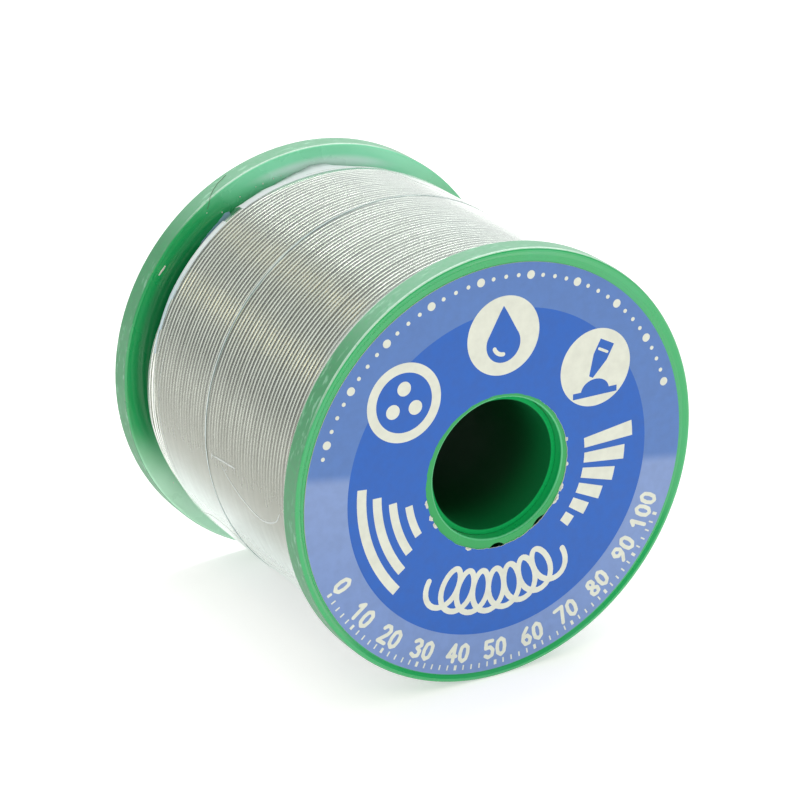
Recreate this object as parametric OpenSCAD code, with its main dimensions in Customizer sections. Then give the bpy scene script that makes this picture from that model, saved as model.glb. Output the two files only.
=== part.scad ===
// Solder wire spool: two moulded flanges on a ribbed core, wound full of flux-cored solder
// wire, with a ring label on the front flange and a clear film round the rear of the winding.
// The spool lies on its two rims with its axis along Y, and its front flange faces -Y.
// The origin is the middle of the bore.

/* [Flanges] */
// Diameter over the rim
flange_d = 63.5; // [56:0.1:80]
// Thickness at the rim
flange_t = 3.5; // [2.9:0.1:6]
// Rounding of the two outer corners of the rim
rim_round = 0.4; // [0.2:0.05:0.5]
// Width of the raised rim, from its outer edge to the top of the label seat's wall
rim_w = 0.6; // [0.5:0.05:2]
// How far the label seat lies below the rim
seat_depth = 0.3; // [0.2:0.05:0.5]
// Width that the seat's sloping wall takes along the radius
seat_slope = 0.5; // [0.1:0.05:0.8]
// Rounding of the edge of the mouth round the bore
mouth_round = 0.3; // [0.1:0.05:0.5]
// Length of the ring that plugs into the core
plug_l = 3; // [2:0.1:6]
// Wall of the plug ring
plug_wall = 1.2; // [0.8:0.1:1.6]

/* [Holes in the flanges] */
// Diameter of the two drive holes
drive_hole_d = 3.1; // [2:0.1:3.6]
// Diameter of the window beside the mouth
window_d = 4.4; // [3:0.1:5]
// Wall left between the mouth and these holes
hole_land = 0.85; // [0.6:0.05:1.5]
// Angle of the window from +X, about the axis
window_angle = -54; // [-60:1:-40]
// Diameter of the hole that lets the wire's start out
start_hole_d = 2.6; // [2:0.1:3]
// Angle of the start hole from +X, about the axis
start_angle = 150; // [130:1:170]
// Distance from the end of the start groove to the edge of the label seat
groove_margin = 4.5; // [1:0.5:6]

/* [Core] */
// Width over the two flanges
spool_w = 55.2; // [46:0.1:70]
// Diameter of the bore
bore_d = 19.05; // [12.7:0.05:22.9]
// How far the ends of the bore tube lie below the seats
bore_step = 1.5; // [1:0.1:2]
// Wall of the bore tube between the flanges
tube_wall = 1.4; // [1:0.1:1.6]
// Wall of its necks, which seat in the mouths of the flanges
neck_wall = 0.75; // [0.6:0.05:0.95]
// Diameter of the barrel that the wire is wound on
barrel_d = 34; // [33:0.1:42]
// Wall of the barrel
barrel_wall = 1.4; // [1:0.1:1.8]
// Number of ribs between the bore tube and the barrel
rib_count = 6; // [3:1:8]
// Thickness of a rib
rib_t = 1.4; // [1:0.1:2]

/* [Wire] */
// How far the rims stand above the winding at mid width
rim_above_wire = 2; // [1.4:0.1:4]
// How much lower the winding is at its shoulders than at mid width
winding_crown = 0.25; // [0:0.05:0.5]
// How far the shoulders of the winding drop beside the flanges
shoulder_drop = 1.2; // [0.5:0.1:2]
// Number of turns drawn in the outer layer
outer_turns = 24; // [12:1:24]
// Space between two of those turns
turn_gap = 0.45; // [0.42:0.01:0.6]
// Diameter of the solder wire
wire_d = 0.81; // [0.5:0.01:1]
// Diameter of the flux inside the wire
flux_d = 0.35; // [0.2:0.01:0.4]

/* [Label] */
// Space between the label and the wall of its seat
label_margin = 0.55; // [0.5:0.05:3]
// Space between the label and the mouth
mouth_margin = 1.05; // [0.6:0.05:3]
// Thickness of the label
label_t = 0.15; // [0.1:0.05:0.2]
// How far the label is stuck on below the middle
label_drop = 0.4; // [0:0.05:0.4]
// How far it is stuck on to the left of the middle
label_shift = 0.15; // [0:0.05:0.2]

/* [Film] */
// Thickness of the layers of film together
film_t = 0.15; // [0.1:0.05:0.3]
// Place of the film's free edge along the axis, behind mid width
film_edge = 2.6; // [-18:0.1:18]
// Height of its other edge, turned up against the rear flange
film_lip = 0.8; // [0.4:0.1:1]

/* [Clearances] */
// Gap between pieces that are pushed together
fit_gap = 0.05; // [0.02:0.01:0.1]
// Gap between the winding, the film and what is next to them
wrap_gap = 0.1; // [0.05:0.05:0.3]

/* [Hidden] */

green = [0.2, 0.66, 0.39];
label_blue = [0.28, 0.42, 0.76];
solder_grey = [0.76, 0.78, 0.74];
flux_amber = [0.84, 0.66, 0.32];
film_clear = [0.84, 0.92, 0.94, 0.4];

eps = 0.01;
round_fn = 96;          // facets that a full circle is shown with
fillet_fn = 32;

// Flanges, each drawn with its inner face at z = 0 and its outer side up
flange_r = flange_d / 2;
seat_z = flange_t - seat_depth;
seat_r = flange_r - rim_w - seat_slope;
traverse = spool_w - 2 * flange_t;

// Core, and what seats on it
bore_r = bore_d / 2;
tube_r = bore_r + tube_wall;
neck_r = bore_r + neck_wall;
neck_end = traverse / 2 + seat_z - bore_step;
mouth_r = neck_r + fit_gap;
barrel_r = barrel_d / 2;
barrel_in_r = barrel_r - barrel_wall;
plug_r = barrel_in_r - fit_gap;
rib_end = traverse / 2 - plug_l - wrap_gap;
rib_sink = 0.5;         // how far a rib runs into the walls at its two edges

// Groove and hole for the start of the wire
start_r = barrel_r + start_hole_d / 2;
groove_l = seat_r - groove_margin - start_r;
groove_depth = wire_d + 2 * fit_gap;
groove_w = wire_d + 4 * wrap_gap;

// Winding
side_y = traverse / 2 - wrap_gap;
winding_r = flange_r - rim_above_wire;
end_len_in_turns = 3.6;      // length of both ends of the outer layer, in turn diameters
turn_d = (traverse / outer_turns - turn_gap) / (1 + end_len_in_turns / outer_turns);
bend_r = (end_len_in_turns / 2 - 1) * turn_d;
coil_half = traverse / 2 - turn_d - bend_r;
coil_r = winding_r - turn_d / 2;
shoulder_y = coil_half + turn_d / 2;
rings_per_turn = 24;
tube_sides = 6;
bend_rings = 5;

// Radius of the middle of the outer layer's turns at a place along the axis
function coil_radius(y) = coil_r - winding_crown * pow(min(1, abs(y) / coil_half), 2);

// Radius of the layers under it, clear of the turns' straight stretches between two rings
function inner_radius(y) = coil_radius(y) * cos(180 / rings_per_turn) - turn_d / 2 - wrap_gap;

// The outer layer's route, as the length unrolled round the coil and the place along the
// axis: square out of the front flange, round a bend, along the coil, and square into the
// rear flange after a last bend
coil_l = outer_turns * 2 * PI * coil_r;
route = concat(
    [[0, -traverse / 2]],
    [for (i = [0 : bend_rings]) let (a = 90 * i / bend_rings)
        [bend_r * (1 - cos(a)), -coil_half - bend_r * (1 - sin(a))]],
    [for (i = [1 : outer_turns * rings_per_turn - 1]) let (k = i / (outer_turns * rings_per_turn))
        [bend_r + k * coil_l, coil_half * (2 * k - 1)]],
    [for (i = [0 : bend_rings]) let (a = 90 * i / bend_rings)
        [bend_r + coil_l + bend_r * sin(a), coil_half + bend_r * (1 - cos(a))]],
    [[2 * bend_r + coil_l, traverse / 2]]);
start_turn = 250;            // degrees from +X where the outer layer begins
centres = [for (p = route) let (a = start_turn + p[0] / coil_r * 180 / PI, r = coil_radius(p[1]))
    [r * cos(a), p[1], r * sin(a)]];
last = len(centres) - 1;

function unit(v) = v / norm(v);
function heading(i) = i == 0 || i == last ? [0, 1, 0] : unit(centres[i + 1] - centres[i - 1]);
function outward(i) = let (c = centres[i], t = heading(i), n = unit([c[0], 0, c[2]]))
    unit(n - (n * t) * t);
function ring(i) = let (n = outward(i), b = cross(heading(i), n))
    [for (s = [0 : tube_sides - 1]) let (a = 360 * s / tube_sides)
        centres[i] + turn_d / 2 * (cos(a) * n + sin(a) * b)];

// Least gap between two turns, from the distance between the middles of their rings
least_gap = min([for (i = [0 : last], j = [i + rings_per_turn / 2 : min(last, i + 2 * rings_per_turn)])
    norm(centres[i] - centres[j])]) - turn_d;
echo(outer_turn_diameter = turn_d, least_gap_between_turns = least_gap);

// Label and film
label_r = seat_r - label_margin;
label_hole_r = mouth_r + mouth_margin;
film_r = winding_r + wrap_gap;
film_y = traverse / 2 - fit_gap;

// Puts a piece drawn with its axis up Z on the front flange's side, outer side to -Y
module at_front() {
    translate([0, -traverse / 2, 0]) rotate([90, 0, 0]) children();
}

// The same on the rear flange's side, turned half a turn about Z
module at_rear() {
    rotate([0, 0, 180]) at_front() children();
}

// Revolves a profile drawn with the radius along X and the place along the spool's axis on Y
module about_axis() {
    rotate([-90, 0, 0]) rotate_extrude($fn = round_fn) children();
}

// Half section of a flange, without its holes
module flange_profile() {
    difference() {
        union() {
            translate([mouth_r, 0]) square([flange_r - rim_round - mouth_r, flange_t]);
            translate([mouth_r, rim_round]) square([flange_r - mouth_r, flange_t - 2 * rim_round]);
            for (z = [rim_round, flange_t - rim_round])
                translate([flange_r - rim_round, z]) circle(rim_round, $fn = fillet_fn);
            translate([plug_r - plug_wall, -plug_l]) square([plug_wall, plug_l + eps]);
        }
        polygon([[0, seat_z], [seat_r, seat_z], [seat_r + seat_slope, flange_t],
                 [seat_r + seat_slope, flange_t + 1], [0, flange_t + 1]]);
        difference() {
            translate([mouth_r - eps, seat_z - mouth_round]) square([mouth_round + eps, mouth_round + eps]);
            translate([mouth_r + mouth_round, seat_z - mouth_round]) circle(mouth_round, $fn = fillet_fn);
        }
    }
}

// Hole straight through a flange and its plug ring, a land away from the mouth
module flange_hole(angle, diameter) {
    rotate(angle) translate([mouth_r + hole_land + diameter / 2, 0, -plug_l - 1])
        cylinder(h = flange_t + plug_l + 2, d = diameter, $fn = fillet_fn);
}

// Hole and groove for the start of the wire
module start_way() {
    rotate(start_angle) {
        translate([start_r, 0, -1]) cylinder(h = flange_t + 2, d = start_hole_d, $fn = fillet_fn);
        translate([start_r, -groove_w / 2, seat_z - groove_depth]) cube([groove_l, groove_w, flange_t]);
        translate([start_r + groove_l, 0, seat_z - groove_depth])
            cylinder(h = flange_t, d = groove_w, $fn = fillet_fn);
    }
}

// One flange moulding; both ends of the spool use it
module flange() {
    difference() {
        rotate_extrude($fn = round_fn) flange_profile();
        for (angle = [90, -90]) flange_hole(angle, drive_hole_d);
        flange_hole(window_angle, window_d);
        start_way();
    }
}

module front_flange() {
    color(green) at_front() flange();
}

module rear_flange() {
    color(green) at_rear() flange();
}

// Bore tube with necks that seat in the flanges, barrel, and the ribs between them
module core() {
    color(green) {
        about_axis() {
            translate([bore_r, -traverse / 2]) square([tube_r - bore_r, traverse]);
            translate([bore_r, -neck_end]) square([neck_r - bore_r, 2 * neck_end]);
            translate([barrel_in_r, -traverse / 2]) square([barrel_wall, traverse]);
        }
        for (i = [0 : rib_count - 1])
            rotate([0, (i + 0.5) * 360 / rib_count, 0])
                translate([tube_r - rib_sink, -rib_end, -rib_t / 2])
                    cube([barrel_in_r - tube_r + 2 * rib_sink, 2 * rib_end, rib_t]);
    }
}

// Flat ring of printed paper, stuck into the front flange's seat
module front_label() {
    color(label_blue) at_front() translate([-label_shift, -label_drop, seat_z]) difference() {
        cylinder(h = label_t, r = label_r, $fn = round_fn);
        translate([0, 0, -1]) cylinder(h = label_t + 2, r = label_hole_r, $fn = round_fn);
    }
}

// The layers of wire under the outer one, as one solid with dropped shoulders
module solder_inner_layers() {
    top = inner_radius(coil_half);
    color(solder_grey) about_axis()
        polygon([[barrel_r + fit_gap, -side_y], [top - shoulder_drop, -side_y], [top, -shoulder_y],
                 [top, shoulder_y], [top - shoulder_drop, side_y], [barrel_r + fit_gap, side_y]]);
}

// The outer layer, one tube that winds from flange to flange
module solder_outer_turns() {
    points = [for (i = [0 : last]) each ring(i)];
    n = tube_sides;
    color(solder_grey) polyhedron(points, concat(
        [for (s = [1 : n - 2]) [0, s, s + 1]],
        [for (i = [0 : last - 1], s = [0 : n - 1]) let (a = i * n + s, b = i * n + (s + 1) % n)
            [a, a + n, b]],
        [for (i = [0 : last - 1], s = [0 : n - 1]) let (a = i * n + s, b = i * n + (s + 1) % n)
            [b, a + n, b + n]],
        [for (s = [1 : n - 2]) [last * n, last * n + s + 1, last * n + s]]));
}

// Rod along the start of the wire: out through the rear flange, round a bend and along the
// groove; inset shortens both of its ends
module start_rod(diameter, inset = 0) {
    bend = start_hole_d / 2;
    floor_z = seat_z - groove_depth + fit_gap + wire_d / 2;
    at_rear() rotate(start_angle) translate([start_r, 0, 0]) {
        translate([0, 0, -wrap_gap + inset])
            cylinder(h = floor_z - bend + wrap_gap - inset, d = diameter, $fn = fillet_fn);
        translate([bend, 0, floor_z - bend]) rotate([90, 0, 180]) rotate_extrude(angle = 90, $fn = round_fn)
            translate([bend, 0]) circle(d = diameter, $fn = fillet_fn);
        translate([bend, 0, floor_z]) rotate([0, 90, 0])
            cylinder(h = groove_l - bend - inset, d = diameter, $fn = fillet_fn);
    }
}

module wire_start() {
    color(solder_grey) difference() {
        start_rod(wire_d);
        start_rod(flux_d + fit_gap, -1);
    }
}

module flux_core() {
    color(flux_amber) start_rod(flux_d);
}

// Clear film round the rear of the winding, with its edge turned up against the flange
module film_wrap() {
    color(film_clear) about_axis() {
        translate([film_r, film_edge]) square([film_t, film_y - film_edge]);
        translate([film_r, film_y - film_t]) square([film_lip, film_t]);
    }
}

front_flange();
rear_flange();
core();
front_label();
solder_inner_layers();
solder_outer_turns();
wire_start();
flux_core();
film_wrap();
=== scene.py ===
"""Looks of a solder wire spool: green flanges on a hollow core, the wound wire in its clear
film, a printed ring label, and the small white studio that it stands in. Lengths are
millimetres and angles degrees, from +X towards +Z, until a mesh is made."""

import logging
import math
from collections.abc import Sequence
from dataclasses import dataclass, field
from enum import Enum

import bpy
import numpy as np
from mathutils import Matrix, Vector
from mathutils.geometry import delaunay_2d_cdt


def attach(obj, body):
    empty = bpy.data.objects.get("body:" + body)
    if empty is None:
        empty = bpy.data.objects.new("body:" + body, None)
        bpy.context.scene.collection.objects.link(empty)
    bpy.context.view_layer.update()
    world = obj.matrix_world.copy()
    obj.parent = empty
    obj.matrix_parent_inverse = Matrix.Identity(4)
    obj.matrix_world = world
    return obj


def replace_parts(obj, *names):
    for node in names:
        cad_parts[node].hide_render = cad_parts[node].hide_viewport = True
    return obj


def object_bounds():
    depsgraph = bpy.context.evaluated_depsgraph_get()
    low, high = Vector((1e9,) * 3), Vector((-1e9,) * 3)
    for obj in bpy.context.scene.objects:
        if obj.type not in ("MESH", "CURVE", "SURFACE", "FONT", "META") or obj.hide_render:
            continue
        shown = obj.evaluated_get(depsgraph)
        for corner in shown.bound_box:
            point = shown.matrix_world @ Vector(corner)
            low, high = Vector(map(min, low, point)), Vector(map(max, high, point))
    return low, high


log = logging.getLogger("spool")

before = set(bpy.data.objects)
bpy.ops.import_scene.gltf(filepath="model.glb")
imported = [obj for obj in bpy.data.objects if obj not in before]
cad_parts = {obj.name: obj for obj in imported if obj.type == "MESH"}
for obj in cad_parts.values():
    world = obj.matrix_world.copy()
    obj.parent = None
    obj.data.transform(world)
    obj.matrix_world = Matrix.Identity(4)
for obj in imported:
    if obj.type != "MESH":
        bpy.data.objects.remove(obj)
CAD_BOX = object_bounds()

MM = 0.001
BODY = "root"
UNROLLED_R = 30  # the radius, about the winding's, at which lengths round the spool are true
WHITE = "#FFFFFF"
SINK_MM = 0.55  # how far the winding's last turns have sunk in where they lie loose
ARC_STEP = 3.0  # degrees between the points of a printed arc, at most

Socket = bpy.types.NodeSocket
Tree = bpy.types.NodeTree
Points = np.ndarray
Mesh = tuple[Points, list]
Spot = tuple[float, float]
Outline = list[Spot]
Way = tuple[float, float, float]


# ---------------------------------------------------------------- colours and node trees

def linear(hex_colour: str) -> tuple[float, float, float, float]:
    """Turns an sRGB hex colour to the linear one that shaders take.

    Args:
        hex_colour: six hex digits after a hash.

    Returns:
        Red, green, blue and alpha, from 0 to 1.
    """
    channels = [int(hex_colour[i:i + 2], 16) / 255 for i in (1, 3, 5)]
    r, g, b = (c / 12.92 if c <= 0.04045 else ((c + 0.055) / 1.055) ** 2.4 for c in channels)
    return r, g, b, 1.0


def add_node(tree: Tree, kind: str, inputs: dict | None = None, **settings) -> bpy.types.Node:
    """Adds a node with its settings, its input values and its links.

    Args:
        tree: the node tree that gets it.
        kind: the node's type without its ShaderNode prefix.
        inputs: a value or an output socket for each input, by name or place.
        **settings: the node's own attributes.

    Returns:
        The new node.
    """
    node = tree.nodes.new("ShaderNode" + kind)
    for name, value in settings.items():
        setattr(node, name, value)
    for name, value in (inputs or {}).items():
        if isinstance(value, Socket):
            tree.links.new(value, node.inputs[name])
        else:
            node.inputs[name].default_value = value
    return node


@dataclass(frozen=True)
class Nodes:
    """Adds the usual groups of nodes to one tree. Places on the spool are given in
    millimetres, and the tree's own lengths are metres."""

    tree: Tree

    def out(self, output: str | int, kind: str, inputs: dict | None = None, **settings) -> Socket:
        """Adds a node and returns one of its outputs."""
        return add_node(self.tree, kind, inputs, **settings).outputs[output]

    def place(self) -> Socket:
        """A point's place."""
        return self.out("Object", "TexCoord")

    def noise(self, size_mm: float, detail: float = 4.0, stretch: Way = (1, 1, 1),
              place: Socket | None = None) -> Socket:
        """A noise whose features are about this many millimetres wide.

        Args:
            size_mm: the width of its features.
            detail: how much finer it goes.
            stretch: how many times finer it is along each axis.
            place: where it is read, if not at the plain place.

        Returns:
            A value from 0 to 1.
        """
        place = self.out("Vector", "VectorMath", {0: place or self.place(), 1: stretch},
                         operation="MULTIPLY")
        return self.out("Fac", "TexNoise", {
            "Vector": place, "Scale": 1 / (size_mm * MM), "Detail": detail})

    def ramp(self, value: Socket, start: float, end: float, low: float = 0.0,
             high: float = 1.0) -> Socket:
        """Takes a value smoothly from low at start to high at end."""
        return self.out("Result", "MapRange", {
            "Value": value, "From Min": start, "From Max": end, "To Min": low, "To Max": high},
            interpolation_type="SMOOTHSTEP")

    def fade(self, length: Socket, start_mm: float, end_mm: float, low: float = 0.0,
             high: float = 1.0) -> Socket:
        """Takes a length smoothly from low at a start to high at an end."""
        return self.ramp(length, start_mm * MM, end_mm * MM, low, high)

    def band(self, length: Socket, middle_mm: float, half_mm: float) -> Socket:
        """One where a length is within half a width of a middle, and nothing elsewhere."""
        return self.out("Value", "Math", {0: length, 1: middle_mm * MM, 2: half_mm * MM},
                        operation="COMPARE")

    def blend(self, share: Socket | float, a: Socket | str, b: Socket | str) -> Socket:
        """Mixes two colours, each a socket or a hex colour."""
        a, b = (linear(c) if isinstance(c, str) else c for c in (a, b))
        return self.out("Result", "Mix", {"Factor": share, "A": a, "B": b}, data_type="RGBA")

    def calculate(self, operation: str, a: Socket | float, b: Socket | float) -> Socket:
        """One sum of two values, kept between 0 and 1."""
        return self.out("Value", "Math", {0: a, 1: b}, operation=operation, use_clamp=True)

    def times(self, value: Socket, *others: Socket | float) -> Socket:
        """A product of values, kept between 0 and 1."""
        for other in others:
            value = self.calculate("MULTIPLY", value, other)
        return value

    def along(self, way: Way) -> Socket:
        """How far a point lies along a direction."""
        return self.out("Value", "VectorMath", {0: self.place(), 1: way}, operation="DOT_PRODUCT")

    def towards(self, degrees: float) -> Socket:
        """How far a point lies towards an angle round the spool."""
        way = math.radians(degrees)
        return self.along((math.cos(way), 0, math.sin(way)))

    def off_axis(self) -> Socket:
        """How far a point lies from the spool's axis."""
        flat = self.out("Vector", "VectorMath", {0: self.place(), 1: (1, 0, 1)},
                        operation="MULTIPLY")
        return self.out("Value", "VectorMath", {0: flat}, operation="LENGTH")

    def from_middle(self) -> Socket:
        """How far a point lies from the spool's middle, along its axis."""
        return self.out("Value", "Math", {0: self.along((0, 1, 0))}, operation="ABSOLUTE")

    def unrolled(self) -> Socket:
        """The place laid flat: round the spool, along it, and off its axis. It parts at the
        bottom."""
        place = add_node(self.tree, "SeparateXYZ", {0: self.place()}).outputs
        turn = self.out("Value", "Math", {0: place["X"], 1: place["Z"]}, operation="ARCTAN2")
        run = self.out("Value", "Math", {0: turn, 1: UNROLLED_R * MM}, operation="MULTIPLY")
        return self.out("Vector", "CombineXYZ", {0: run, 1: place["Y"], 2: self.off_axis()})

    def flecks(self, apart_mm: float, size: Spot, channel: str, rarity: Spot,
               share: float) -> Socket:
        """Specks in a few cells of a loose pattern.

        Args:
            apart_mm: how far apart the cells are.
            size: where a speck begins and ends to thin out, in cells.
            channel: the channel of a cell's random colour that picks it.
            rarity: where that channel begins and ends to let specks in.
            share: how strong a speck is.

        Returns:
            Each point's share of speck.
        """
        cell = add_node(self.tree, "TexVoronoi", {
            "Vector": self.place(), "Scale": 1 / (apart_mm * MM)}).outputs
        pick = self.out(channel, "SeparateColor", {"Color": cell["Color"]})
        return self.times(self.ramp(cell["Distance"], *size, 1.0, 0.0),
                          self.ramp(pick, *rarity, 0.0, share))

    def bump(self, height: Socket, strength: float, depth_mm: float) -> Socket:
        """The normal of a surface with a fine relief."""
        return self.out("Normal", "Bump", {"Height": height, "Strength": strength,
                                           "Distance": depth_mm * MM})


# ---------------------------------------------------------------- finishes

@dataclass(frozen=True)
class Finish:
    """A finish that a piece can wear."""

    name: str

    def shader(self, add: Nodes) -> Socket:
        """Adds the finish's nodes and returns its shader's output."""
        raise NotImplementedError

    def material(self) -> bpy.types.Material:
        """Makes the material, once, and returns it."""
        found = bpy.data.materials.get(self.name)
        if found:
            return found
        material = bpy.data.materials.new(self.name)
        material.use_nodes = True
        tree = material.node_tree
        tree.nodes.clear()
        add_node(tree, "OutputMaterial", {"Surface": self.shader(Nodes(tree))})
        return material


@dataclass(frozen=True)
class MouldedStyrene(Finish):
    """Injection-moulded polystyrene: a clean mould face gives it a soft shine and a full
    colour. The rolling edge is rubbed matt and greyer with short scuffs along it, its grey partly a
    painted reflection, with a painted pale sheen towards the top and painted highlights on its
    corners. The rear flange's inner face has painted shade near the wire and patches of painted
    light, a painted highlight rings the mouth, soiling and painted shade ring the label's edge, and
    a few pale flecks stick to it."""

    colour: str = "#06AE5B"
    by_mouth: str = "#04A04C"
    painted_lip_highlight: str = "#6FD79E"
    cloudy: str = "#22B06C"
    rubbed: str = "#378858"
    chalk_and_painted_sheen: str = "#9BD2B3"
    shaded: str = "#10874A"
    painted_bounce_glow: str = "#DDF5EE"
    painted_corner_highlight: str = "#D5F3E2"
    grime_and_shade: str = "#0B6B3A"
    fleck: str = "#C9C79A"
    ior: float = 1.59
    roughness: float = 0.3
    cloud_mm: float = 9.0
    grain_mm: float = 0.25
    rubbed_mm: Spot = (31.55, 0.17)
    # Middles and half widths of what is picked out by its place
    tread: Spot = (25.85, 1.37)
    painted_highlight_ring: Spot = (10.46, 0.11)
    dirt_and_shade_ring: Spot = (30.3, 0.12)
    inner_face: Spot = (24.1, 0.12)
    # Each corner with a painted highlight: its place, the angle it faces, and from where and to where
    # the highlight grows
    corners: tuple = (((27.39, 0.14), 103, 15, 27), ((24.31, 0.14), 97, 24, 30))
    # Each patch of painted light: its angle, from where to where and how much it grows, its clouds,
    # its colour
    painted_light_patches: tuple = ((145, (20, 5, 0.0, 0.8), (0.25, 0.75, 0.75), "#7FD9A6"),
                     (85, (21, 29.5, 0.0, 0.92), (0.3, 0.7, 0.8), "#8CEBBD"),
                     (240, (20, 28.5, 0.0, 0.95), (0.3, 0.7, 0.8), "#CCFFE0"))

    def rim(self, add: Nodes, colour: Socket, rim: Socket, scuff: Socket, reach: Socket) -> Socket:
        """The rolling edge: rubbed grey with chalky scuffs, the grey partly a painted reflection, a
        painted pale sheen towards the top, and painted highlights on its corners.
        """
        scratch = add.noise(0.5, 4.0, (0.3, 1, 1), add.unrolled())
        chalk_and_top_sheen = add.times(add.ramp(scratch, 0.52, 0.68), add.ramp(add.noise(6.0, 3.0), 0.4, 0.65),
                          0.55)
        # Paler towards the top, as a painted sheen of the light from above
        chalk_and_top_sheen = add.calculate("ADD", chalk_and_top_sheen, add.fade(add.along((0, 0, 1)), 19, 31, 0.0, 0.62))
        # The rubbed grey is partly wear and partly a painted reflection of the white room at a grazing
        # angle
        wear = add.blend(chalk_and_top_sheen, self.rubbed, self.chalk_and_painted_sheen)
        colour = add.blend(add.times(rim, add.ramp(scuff, 0.2, 0.6, 0.75, 1.0)), colour, wear)
        painted_corner_highlight = 0.0
        # Painted highlights along the rims' corners, on the side that faces the light
        for place, degrees, start, end in self.corners:
            bright = add.fade(add.towards(degrees), start, end, 0.0, 0.6)
            band = add.band(add.from_middle(), *place)
            painted_corner_highlight = add.calculate("ADD", painted_corner_highlight, add.times(band, bright))
        painted_corner_highlight = add.times(painted_corner_highlight, add.fade(reach, 31.42, 31.5), add.ramp(scuff, 0.2, 0.5, 0.5, 1.0))
        return add.blend(painted_corner_highlight, colour, self.painted_corner_highlight)

    def inside(self, add: Nodes, colour: Socket, cloud: Socket, reach: Socket) -> Socket:
        """The face towards the wire: painted shade near the wire, patches of painted light round
        it, and a painted glow at the top next to the wire.
        """
        face = add.band(add.along((0, 1, 0)), *self.inner_face)
        # Painted shade on the inner face near the wire, less of it towards the top and the lower left
        deep = add.times(face, add.fade(reach, 30.9, 29.2, 0.1, 0.9),
                         add.fade(add.along((0, 0, 1)), 14, 26, 1.0, 0.1),
                         add.fade(add.along((-0.5, 0, -0.866)), 16, 27, 1.0, 0.1))
        colour = add.blend(deep, colour, self.shaded)
        # Patches of painted light on the inner face
        for degrees, growth, clouds, tone in self.painted_light_patches:
            pale = add.times(face, add.fade(add.towards(degrees), *growth),
                             add.ramp(cloud, *clouds, 1.0))
            colour = add.blend(pale, colour, tone)
        # A painted glow of light at the top, next to the wire
        pale = add.times(face, add.fade(add.towards(87), 26.5, 29.0, 0.0, 0.7),
                         add.fade(reach, 30.4, 29.2))
        return add.blend(pale, colour, self.painted_bounce_glow)

    def shader(self, add: Nodes) -> Socket:
        """Green plastic, clouded a little, rubbed at the rim, with flecks and a fine grain, and with
        painted highlights, light and shade.
        """
        reach = add.off_axis()
        cloud = add.noise(self.cloud_mm)
        scuff = add.noise(0.7, 6.0)
        start, wide = self.rubbed_mm
        rim = add.fade(reach, start, start + wide)
        tread = add.times(rim, add.band(add.from_middle(), *self.tread))
        colour = add.blend(add.ramp(cloud, 0.45, 0.75, 0.0, 0.6), self.colour, self.cloudy)
        colour = self.rim(add, colour, rim, scuff, reach)
        front = add.fade(add.along((0, -1, 0)), 27.1, 27.2)
        mouth = add.times(front, add.fade(reach, 13.4, 12.8, 0.0, 0.9))
        colour = add.blend(mouth, colour, self.by_mouth)
        # A painted highlight along the mouth's rounded edge
        colour = add.blend(add.times(mouth, add.band(reach, *self.painted_highlight_ring), 0.6), colour, self.painted_lip_highlight)
        # A dark ring at the label's edge: partly soiling and partly painted shade in the seat's corner
        dirt_and_shade = add.times(add.band(reach, *self.dirt_and_shade_ring), front,
                         add.ramp(scuff, 0.35, 0.65, 0.0, 0.14))
        colour = self.inside(add, add.blend(dirt_and_shade, colour, self.grime_and_shade), cloud, reach)
        flecks = add.flecks(5.5, (0.035, 0.05), "Red", (0.72, 0.74), 1.0)
        rough = add.ramp(cloud, 0.3, 0.7, self.roughness - 0.05, self.roughness + 0.06)
        bare = add.calculate("ADD", tread, mouth)
        return add.out("BSDF", "BsdfPrincipled", {
            "Base Color": add.blend(flecks, colour, self.fleck), "IOR": self.ior,
            "Roughness": add.out("Value", "Math", {0: tread, 1: 0.18, 2: rough},
                                 operation="MULTIPLY_ADD"),
            "Sheen Weight": 0.06, "Sheen Roughness": 0.4, "Coat Roughness": 0.12,
            "Coat Weight": add.calculate("SUBTRACT", 0.7, bare),
            "Normal": add.bump(add.noise(self.grain_mm, 2.0), 0.15, 0.02)})


@dataclass(frozen=True)
class CoreStyrene(Finish):
    """Polystyrene of the core: green like the flanges on its ends and outside, but the core
    pin leaves the long bore dull, and the bore is painted darker as shade, more so away from
    both mouths."""

    colour: str = "#0AAE5B"
    mouth: str = "#07703A"
    deep: str = "#01471F"
    ior: float = 1.59
    roughness: float = 0.55
    bore_mm: float = 9.525

    def shader(self, add: Nodes) -> Socket:
        """Green plastic with painted shade from where the bore begins."""
        # The bore is painted darker as shade, and darker still away from both mouths
        inside = add.fade(add.off_axis(), self.bore_mm + 0.12, self.bore_mm + 0.02)
        bore = add.blend(add.fade(add.from_middle(), 15, 26), self.deep, self.mouth)
        return add.out("BSDF", "BsdfPrincipled", {
            "Base Color": add.blend(inside, self.colour, bore), "IOR": self.ior,
            "Roughness": add.ramp(add.noise(6.0), 0.3, 0.7, self.roughness, self.roughness + 0.12),
            "Specular IOR Level": 0.1, "Normal": add.bump(add.noise(0.3, 3.0), 0.2, 0.03)})


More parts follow.
